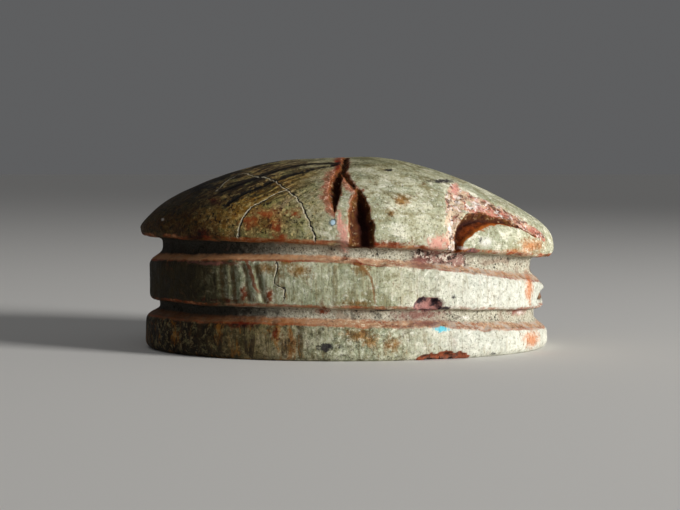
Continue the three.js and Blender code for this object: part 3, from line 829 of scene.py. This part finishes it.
def steatite_finish():
    """The stone's material: a base of three tones, then each stain and mark over it in the order of time."""
    f = Finish("steatite")
    axes = f.add("ShaderNodeSeparateXYZ", {0: f.place}).outputs
    x, y, z = (f.times(axes[axis], 1 / MM) for axis in "XYZ")
    cloud = f.noise(1.7, 5, 0.62, bend=0.7)
    patch = f.noise(0.6, 5, 0.68, bend=0.6)
    mottle = f.noise(0.34, 6, 0.78)
    fine = f.noise(0.17, 5, 0.78)
    streak = f.noise(0.34, 5, 0.66, stretch=(1, 1, 7), bend=0.35)
    rusty_streak = f.noise(0.5, 6, 0.75, stretch=(1, 1, 3), bend=0.5)
    hairline = f.noise(0.13, 4, 0.7, stretch=(1, 1, 10), bend=0.3)
    strands = f.add("ShaderNodeAttribute", attribute_name="strands").outputs["Vector"]
    strand_noise = {"Vector": strands, "Scale": 2.6, "Detail": 6.0, "Roughness": 0.72, "Distortion": 0.35}
    strand = f.add("ShaderNodeTexNoise", strand_noise).outputs["Fac"]
    jag = f.math("SUBTRACT", f.noise(0.42, 6, 0.72, bend=0.8), 0.5)
    fray = f.times(f.math("SUBTRACT", fine, 0.5), 2.2)
    scraped, back, wall, bowl = (f.stored(name) for name in ("scraped", "back", "wall", "bowl"))
    tone = f.over("bfbea3", "a1a48a", f.step(cloud, 0.4, 0.6))

    def jagged(value, amount):
        """The value with an uneven shift, by half the amount at most."""
        return f.math("ADD", value, f.times(jag, amount))

    def lay(colour, *shares, blend="MIX"):
        """Lays a colour over the tone, by the product of the shares."""
        nonlocal tone
        tone = f.over(tone, colour, f.times(*shares), blend)

    def flecks(where, *rows):
        """Lays colours over the tone in a region. Each row is (colour, value, start, end, strength)."""
        for colour, value, start, end, strength in rows:
            lay(colour, where, f.step(value, start, end, 0, strength))

    # The bare stone: patches, upright scraping marks, strands along the back, and grain all over.
    lay("e5e2ce", f.step(patch, 0.5, 0.66, 0, 0.85))
    lay("938c69", f.step(patch, 0.48, 0.36, 0, 0.7))
    flecks(scraped, ("6f6342", streak, 0.53, 0.66, 0.6), ("8a6437", rusty_streak, 0.55, 0.68, 0.7),
           ("f0ecdc", streak, 0.45, 0.33, 0.4))
    # Painted shade: the plate and band are darker behind the middle of the stone.
    lay("e4e8e2", scraped, f.step(jagged(x, 3.0), 2.6, 0.6), blend="MULTIPLY")
    lay("e3e4de", scraped, f.step(jagged(x, 3.0), 1.5, 5.5), 0.5)
    flecks(scraped, ("8f805c", hairline, 0.52, 0.66, 0.35))
    uneven_z = jagged(z, 3.0)
    ahead = f.times(back, f.step(x, -3.0, 0.5))
    flecks(f.times(back, f.step(uneven_z, 5.2, 6.6, 0.25, 1.0)), ("857c58", strand, 0.49, 0.62, 0.75))
    flecks(ahead, ("ddd8bd", strand, 0.47, 0.36, 0.5))
    grainy = f.math("SUBTRACT", 1.0, f.times(scraped, 0.25))
    flecks(grainy, ("5c5336", fine, 0.53, 0.66, 0.8), ("f3f0e2", fine, 0.46, 0.35, 0.65),
           ("2f2a1d", f.noise(0.075, 2, 0.6), 0.6, 0.7, 0.7))

    # The wing cases: brown and green, golden in the lane between their lines, dark strands on top.
    wavering = jagged(x, 5.0)
    on_case = f.times(back, f.step(wavering, 0.2, -3.5))
    lay(f.over("8a6428", "7b7a45", f.step(cloud, 0.42, 0.56)), on_case, 0.75)
    lane = jagged(f.add("ShaderNodeSeparateXYZ", {0: strands}).outputs["Y"], 1.5)
    lay("ab7f30", on_case, f.step(lane, -2.8, -1.0), f.step(lane, 0.3, -0.2), 0.75)
    flecks(on_case, ("a3a972", mottle, 0.51, 0.58, 0.7), ("4a3418", mottle, 0.47, 0.4, 0.55),
           ("241707", f.noise(0.17, 4, 0.8), 0.53, 0.6, 0.9),
           ("f0e2b0", f.noise(0.15, 4, 0.8), 0.55, 0.61, 0.9), ("1c1206", fine, 0.53, 0.6, 0.9),
           ("e2d59c", fine, 0.45, 0.37, 0.75))
    flecks(f.times(on_case, f.step(uneven_z, 5.9, 7.0)), ("2b1e10", strand, 0.46, 0.53, 0.95))
    lay("d8bd78", on_case, 0.5, blend="MULTIPLY")

    # The crown is duller, the plate granular ahead, and towards the tail painted shade darkens the stone over
    # patina and soil.
    lay("cbc8b4", ahead, f.step(uneven_z, 6.9, 8.3), blend="MULTIPLY")
    # Painted shade over dark patina: everything darkens towards the tail end.
    lay("675438", f.step(wavering, -3.4, -6.8, 0, 0.95), blend="MULTIPLY")
    below_back = f.math("SUBTRACT", 1.0, back)
    # Painted shade: the band and plate darken further towards the tail.
    lay("a39c84", below_back, f.step(wavering, -3.8, -6.0), blend="MULTIPLY")
    low = f.times(below_back, f.step(z, 1.9, 1.5))
    granular = f.times(low, f.step(wavering, 4.0, 1.5))
    gravel = f.noise(0.22, 5, 0.8)
    flecks(granular, ("2d2614", gravel, 0.46, 0.39, 0.65), ("e2e3cb", gravel, 0.53, 0.6, 0.6))
    soiled_and_shaded = f.times(low, f.step(wavering, 0.8, -4.2))
    # Painted shade as well as soil: the plate darkens behind the middle.
    lay("91774c", soiled_and_shaded, 0.88, blend="MULTIPLY")
    flecks(soiled_and_shaded, ("2c200f", streak, 0.5, 0.58, 0.85), ("9a6427", rusty_streak, 0.52, 0.62, 0.6),
           ("a0966a", mottle, 0.54, 0.62, 0.4), ("161007", fine, 0.56, 0.64, 0.7))

    # Grit fills the grooves: grey, pitted with black, brown where it crumbles; black towards the tail is
    # painted shade.
    groove_grit_and_shade = f.coats("b9b5a2", ("5a5446", f.noise(0.07, 4, 0.75), 0.48, 0.64),
                   ("e0ddcd", f.noise(0.09, 4, 0.75), 0.54, 0.66), ("86705f", cloud, 0.5, 0.64, 0.6),
                   ("26211b", patch, 0.56, 0.68, 0.6))
    pitted = f.times(f.step(f.cells(0.19), 0.3, 0.18, 0, 0.85), f.step(patch, 0.46, 0.56))
    pale_crumbs = ("e8dccb", f.noise(0.22, 5, 0.78), 0.52, 0.58)
    crumble = f.coats("98766c", ("301c18", mottle, 0.47, 0.53), pale_crumbs)
    crumbling = jagged(f.stored("crumbling"), 1.0)
    # The last coat is painted shade: the grooves go black towards the tail.
    groove_grit_and_shade = f.coats(f.over(groove_grit_and_shade, "15110d", pitted), (crumble, crumbling, 0.3, 0.7, 0.95),
                   ("0e0a07", wavering, -1.2, -4.8, 0.93))
    lay(groove_grit_and_shade, f.step(jagged(wall, 0.5), 0.3, 0.7))

    def mark(name, code, strength, ragged_by, edge, blend="MIX"):
        """Lays a colour in the round marks of a name, from just outside their edges, which are ragged."""
        stored = f.stored(name)
        field = f.math("ADD", jagged(stored, ragged_by), fray)
        lay(code, f.step(field, 0.9, 0.9 + edge, 0, strength), f.step(stored, 0.05, 0.5), blend=blend)

    def edge_line(name, middle, half, colour, *shares):
        """Lays a colour along a ledge: a line of this half width, whose middle is this far over the edge."""
        off = f.math("ABSOLUTE", f.math("SUBTRACT", jagged(f.stored(name), 0.22), middle))
        lay(colour, f.step(off, half, half * 0.35), *shares)

    # Stain along the ledges: rosy lines on top of the plate and the band, and thin rusty ones in patches.
    mark("ochre", "cc955c", 0.9, 2.0, 1.1, "MULTIPLY")
    reddened = f.times(f.step(wavering, 0.3, -1.2, 0, 0.9), f.step(wavering, -5.6, -4.2))
    patchy = f.math("MAXIMUM", f.step(f.noise(1.3, 5, 0.75), 0.42, 0.58, 0.05, 1.0), reddened)
    rosy = f.coats("bf9272", ("9c5838", f.noise(1.1, 5, 0.68), 0.48, 0.62), ("efe0c4", fine, 0.53, 0.61, 0.8),
                   ("4e2818", mottle, 0.45, 0.38, 0.75))
    rosy = f.over(rosy, "ad7146", f.times(f.step(wavering, 0.5, -3.0), f.step(mottle, 0.44, 0.54)))
    rosy = f.over(rosy, "b9a79a", f.times(f.step(wavering, 1.5, 4.0), f.step(mottle, 0.46, 0.56)))
    # Towards the tail the band's ledge is paled by a painted highlight and the plate's ledge darkened by
    # painted shade.
    edge_line("band_edge", 0.07, 0.16, f.coats(rosy, ("dcab80", wavering, -0.5, -2.5, 0.5)), 0.85)
    edge_line("plate_edge", 0.09, 0.19, f.coats(rosy, ("3c281a", wavering, -1.8, -4.6, 0.75)), 0.85)
    edge_line("foot_edge", 0.06, 0.1, f.coats("8f4526", ("c2906c", mottle, 0.5, 0.57, 0.65)), 0.75, patchy)
    edge_line("rim_edge", 0.07, 0.14, f.coats("96431f", ("cf9c74", mottle, 0.5, 0.57, 0.65)), 0.9, patchy)
    edge_line("band_edge", -0.04, 0.055, "81351c", 0.75, patchy)
    edge_line("plate_edge", -0.02, 0.055, "8f4a2c", 0.55, patchy)

    # The stone round the cuts is stained, and where it is worn it has crumbled to pink and cream.
    halo = f.stored("halo")
    halo = f.times(f.step(jagged(halo, 1.3), 0.2, 0.6, 0, 0.85), f.step(halo, 0.0, 0.1))
    lay(f.coats("7d4028", ("ad6852", mottle, 0.46, 0.56)), halo)
    flecks(halo, ("d9bfa8", fine, 0.54, 0.62, 0.8))
    worn = f.stored("worn")
    creamy = f.times(f.step(x, 5.4, 4.4), f.step(mottle, 0.42, 0.54, 0, 0.8))
    worn_tone = f.over(f.coats("c5a78c", ("bd7868", f.noise(0.55, 5, 0.75), 0.44, 0.54)), "d6c6aa", creamy)
    worn_tone = f.coats(worn_tone, ("4f2418", f.noise(0.3, 5, 0.78), 0.5, 0.57, 0.9),
                        ("eadfd8", f.noise(0.24, 5, 0.78), 0.54, 0.6),
                        ("17100e", f.cells(0.24), 0.26, 0.14, 0.85))
    lay(worn_tone, f.step(jagged(worn, 1.3), 0.2, 0.42), f.step(worn, 0.0, 0.1), 0.92)
    mark("plum", "7d5048", 0.85, 1.8, 1.0)
    mark("pink", "e2a294", 0.85, 1.5, 0.9)
    mark("peach", "ffb898", 1.0, 1.5, 1.0, "MULTIPLY")
    mark("rust", "b56048", 1.0, 2.4, 0.9, "MULTIPLY")
    mark("russet", "9c4a28", 0.8, 2.6, 1.3)

    # The cuts are dark red-brown with crumbs; painted light reddens the cheek's side of the cheek channel.
    # Chips are mauve or rusty.
    cut = jagged(f.stored("cut"), 0.1)
    lay("794325", f.step(cut, 0.005, 0.04, 0, 0.9))
    lay("43200f", f.step(cut, 0.04, 0.15, 0, 0.95))
    crumbs = f.times(f.step(cut, 0.01, 0.05), f.step(cut, 0.42, 0.2))
    flecks(crumbs, ("5f411f", mottle, 0.5, 0.57, 0.8), ("1a0b06", mottle, 0.46, 0.39, 0.9),
           ("c09f7c", f.noise(0.2, 5, 0.78), 0.57, 0.63, 0.8))
    lay("2a0e09", f.step(cut, 0.24, 0.5, 0, 0.97))
    # Painted light: the cheek's side of the cheek channel turns orange over the cut's stain.
    bowl_stain_and_light = f.coats("803d1d", ("4a1f10", mottle, 0.48, 0.56, 0.8), ("a86030", bowl, 0.7, 0.95, 0.9))
    lay(bowl_stain_and_light, f.step(jagged(bowl, 0.6), 0.25, 0.7), f.step(cut, 0, 0.03), f.step(bowl, 0.0, 0.1))
    low_break = f.coats("8a3c16", ("421a0a", mottle, 0.48, 0.56))
    break_tone = f.coats("a0716a", ("4a3440", mottle, 0.47, 0.55), ("cfa58a", fine, 0.56, 0.64, 0.7),
                         (low_break, z, 1.2, 0.7, 0.95))
    lay(break_tone, f.step(f.stored("chipped"), 0.01, 0.06), f.step(x, 7.4, 6.6), 0.93)

    # The underside's lines, and the bore, which is told by the distance from its axis.
    lay("4a3220", f.step(jagged(f.stored("engraved"), 0.08), 0.03, 0.12, 0, 0.85))
    across = f.math("SUBTRACT", z, BORE_HEIGHT)
    from_axis = f.math("SQRT", f.math("ADD", f.times(across, across), f.times(y, y)))
    drill_rings = f.noise(0.25, 4, 0.6, stretch=(0.35, 4, 4))
    bore_tone = f.coats("7a6248", ("2c1e14", drill_rings, 0.4, 0.6))
    lay(bore_tone, f.step(from_axis, BORE_RADIUS + 0.22, BORE_RADIUS + 0.04), 0.9)

    # Small marks of white and black, and two of blue glaze. The white one at the tail is a painted glint.
    mark("white", "f4f1ea", 0.7, 1.8, 1.2)
    mark("black", "1b161f", 0.92, 2.2, 0.7)
    mark("blue", "33424e", 0.9, 0.9, 0.6)
    lay("b4cddb", f.step(f.stored("blue"), 1.3, 1.6))
    mark("turquoise", "70c6d6", 1.0, 1.8, 0.6)

    def line(name, half, code, strength, ragged_by, shift=0.0):
        """Lays a colour along a line of this half width, shifted to one side, and returns where it lies."""
        off = f.math("ADD", jagged(f.stored(name), ragged_by), f.times(fray, 0.03))
        off = f.math("ABSOLUTE", f.math("ADD", off, shift))
        amount = f.times(f.step(off, half, half * 0.4), f.stored(name + "_on"))
        lay(code, amount, strength)
        return amount

    # Lines: two over each wing case, the hatches, the seam, two stains, and three cracks with a painted
    # highlight on one side.
    for name, half in (("upper_case_line", 0.32), ("lower_case_line", 0.224)):
        line(name, half, "140c05", 0.95, 0.9)
        line(name, 0.1, "080503", 0.95, 0.3)
    hatched = f.step(jagged(f.stored("hatched"), 0.09), 0.03, 0.08, 0, 0.75)
    lay("59401f", hatched, f.step(mottle, 0.56, 0.46, 0.25, 1.0))
    line("seam", 0.06, "4a3c22", 0.6, 0.06)
    line("stain_band", 0.1, "6f2f17", 0.75, 0.4)
    line("stain_rust", 0.06, "7a5430", 0.7, 0.4)
    grooves = [f.step(f.noise(0.1, 2, 0.5), 0.62, 0.7, 0, 0.7)]
    for name in ("crack_long", "crack_fork", "crack_band"):
        # The pale line beside each crack is a painted highlight on its lit lip.
        line(name, 0.03, "f6ecd0", f.step(mottle, 0.42, 0.54, 0.3, 0.95), 0.35, 0.042)
        grooves.append(line(name, 0.042, "0f0a05", f.step(cloud, 0.36, 0.5, 0.6, 1.0), 0.35))

    # The surface: rougher where it is sheltered from wear, with grain, marks, pits and cracks as its relief.
    tone = f.add("ShaderNodeHueSaturation", {"Saturation": 1.05, "Color": tone}).outputs["Color"]
    f.feed(f.shader.inputs["Base Color"], tone)
    sheltered = f.math("MAXIMUM", wall, f.step(cut, 0.0, 0.06))
    rough = f.math("ADD", f.step(patch, 0.3, 0.7, 0.5, 0.72), f.times(sheltered, 0.25))
    f.feed(f.shader.inputs["Roughness"], rough)
    f.shader.inputs["Specular IOR Level"].default_value = 0.18
    height = f.times(fine, f.math("ADD", 0.9, f.times(on_case, 1.6)))
    for ridges in (f.times(streak, scraped, 1.2), f.times(strand, back, 0.8), f.times(patch, 0.8)):
        height = f.math("ADD", height, ridges)
    for groove in grooves:
        height = f.math("SUBTRACT", height, groove)
    bump = f.add("ShaderNodeBump", {"Height": height, "Strength": 0.9, "Distance": 0.05 * MM})
    f.feed(f.shader.inputs["Normal"], bump.outputs["Normal"])
    return f.material


stone.data.materials.clear()
stone.data.materials.append(steatite_finish())
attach(stone, "root")
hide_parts("scarab")

# The studio
# A plain pale floor under plain soft light: a broad lamp low on the right, a faint fill, and a pale sky.
FLOOR_SIZE = 3.0


def studio_floor():
    """A square sheet at the height of the underside, far larger than the amulet."""
    h = FLOOR_SIZE / MM / 2
    corners = np.array([[-h, -h, 0], [h, -h, 0], [h, h, 0], [-h, h, 0]])
    made = as_object("studio_floor", corners, np.array([[0, 1, 2], [0, 2, 3]]))
    f = Finish("floor_paper")
    f.feed(f.shader.inputs["Base Color"], "dcdad6")
    f.shader.inputs["Roughness"].default_value = 0.9
    made.data.materials.append(f.material)
    return made


studio_floor()

# The key lamp is a soft square that faces the middle of the stone. It is placed by its direction from there.
AIM = np.array([-0.285, 0, 3.96])  # the point that the camera looks at, in millimetres
KEY_AZIMUTH, KEY_ELEVATION = np.radians([61, 13])
KEY_DISTANCE = 0.3
key_data = bpy.data.lights.new("key", "AREA")
key_data.spread = np.radians(70)
key_data.size = 0.085
key_data.energy = 0.2
key_data.color = (1.0, 0.99, 0.97)
key = in_scene("key", key_data)
towards_key = np.array([np.sin(KEY_AZIMUTH), -np.cos(KEY_AZIMUTH), np.tan(KEY_ELEVATION)])
key.location = AIM * MM + KEY_DISTANCE * np.cos(KEY_ELEVATION) * towards_key
key.rotation_euler = (np.pi / 2 - KEY_ELEVATION, 0, KEY_AZIMUTH)

# The fill comes down from in front, and the sky gives the rest.
fill_data = bpy.data.lights.new("fill", "SUN")
fill_data.energy = 0.18
fill_data.angle = np.radians(50)
in_scene("fill", fill_data).rotation_euler = np.radians([35, 0, -15])
world = bpy.data.worlds.new("pale_sky")
world.use_nodes = True
background = world.node_tree.nodes["Background"]
background.inputs["Color"].default_value = (0.8, 0.81, 0.83, 1)
background.inputs["Strength"].default_value = 0.14
bpy.context.scene.world = world
bpy.context.scene.view_settings.view_transform = "Standard"

# The camera
# It stands almost level with the amulet's flank and looks a little down on it.
LENS = 90
SENSOR = 36
ELEVATION = 3
SCALE = 22.83  # image pixels for each millimetre, at the middle of the stone
IMAGE_WIDTH = 680

camera_data = bpy.data.cameras.new("camera")
camera_data.lens = LENS
camera_data.sensor_width = SENSOR
camera_data.clip_start = 0.005
camera = in_scene("camera", camera_data)
distance = LENS * IMAGE_WIDTH / SENSOR / SCALE
rise = np.radians(ELEVATION)
camera.location = (AIM + distance * np.array([0, -np.cos(rise), np.sin(rise)])) * MM
camera.rotation_euler = (np.pi / 2 - rise, 0, 0)
bpy.context.scene.camera = camera
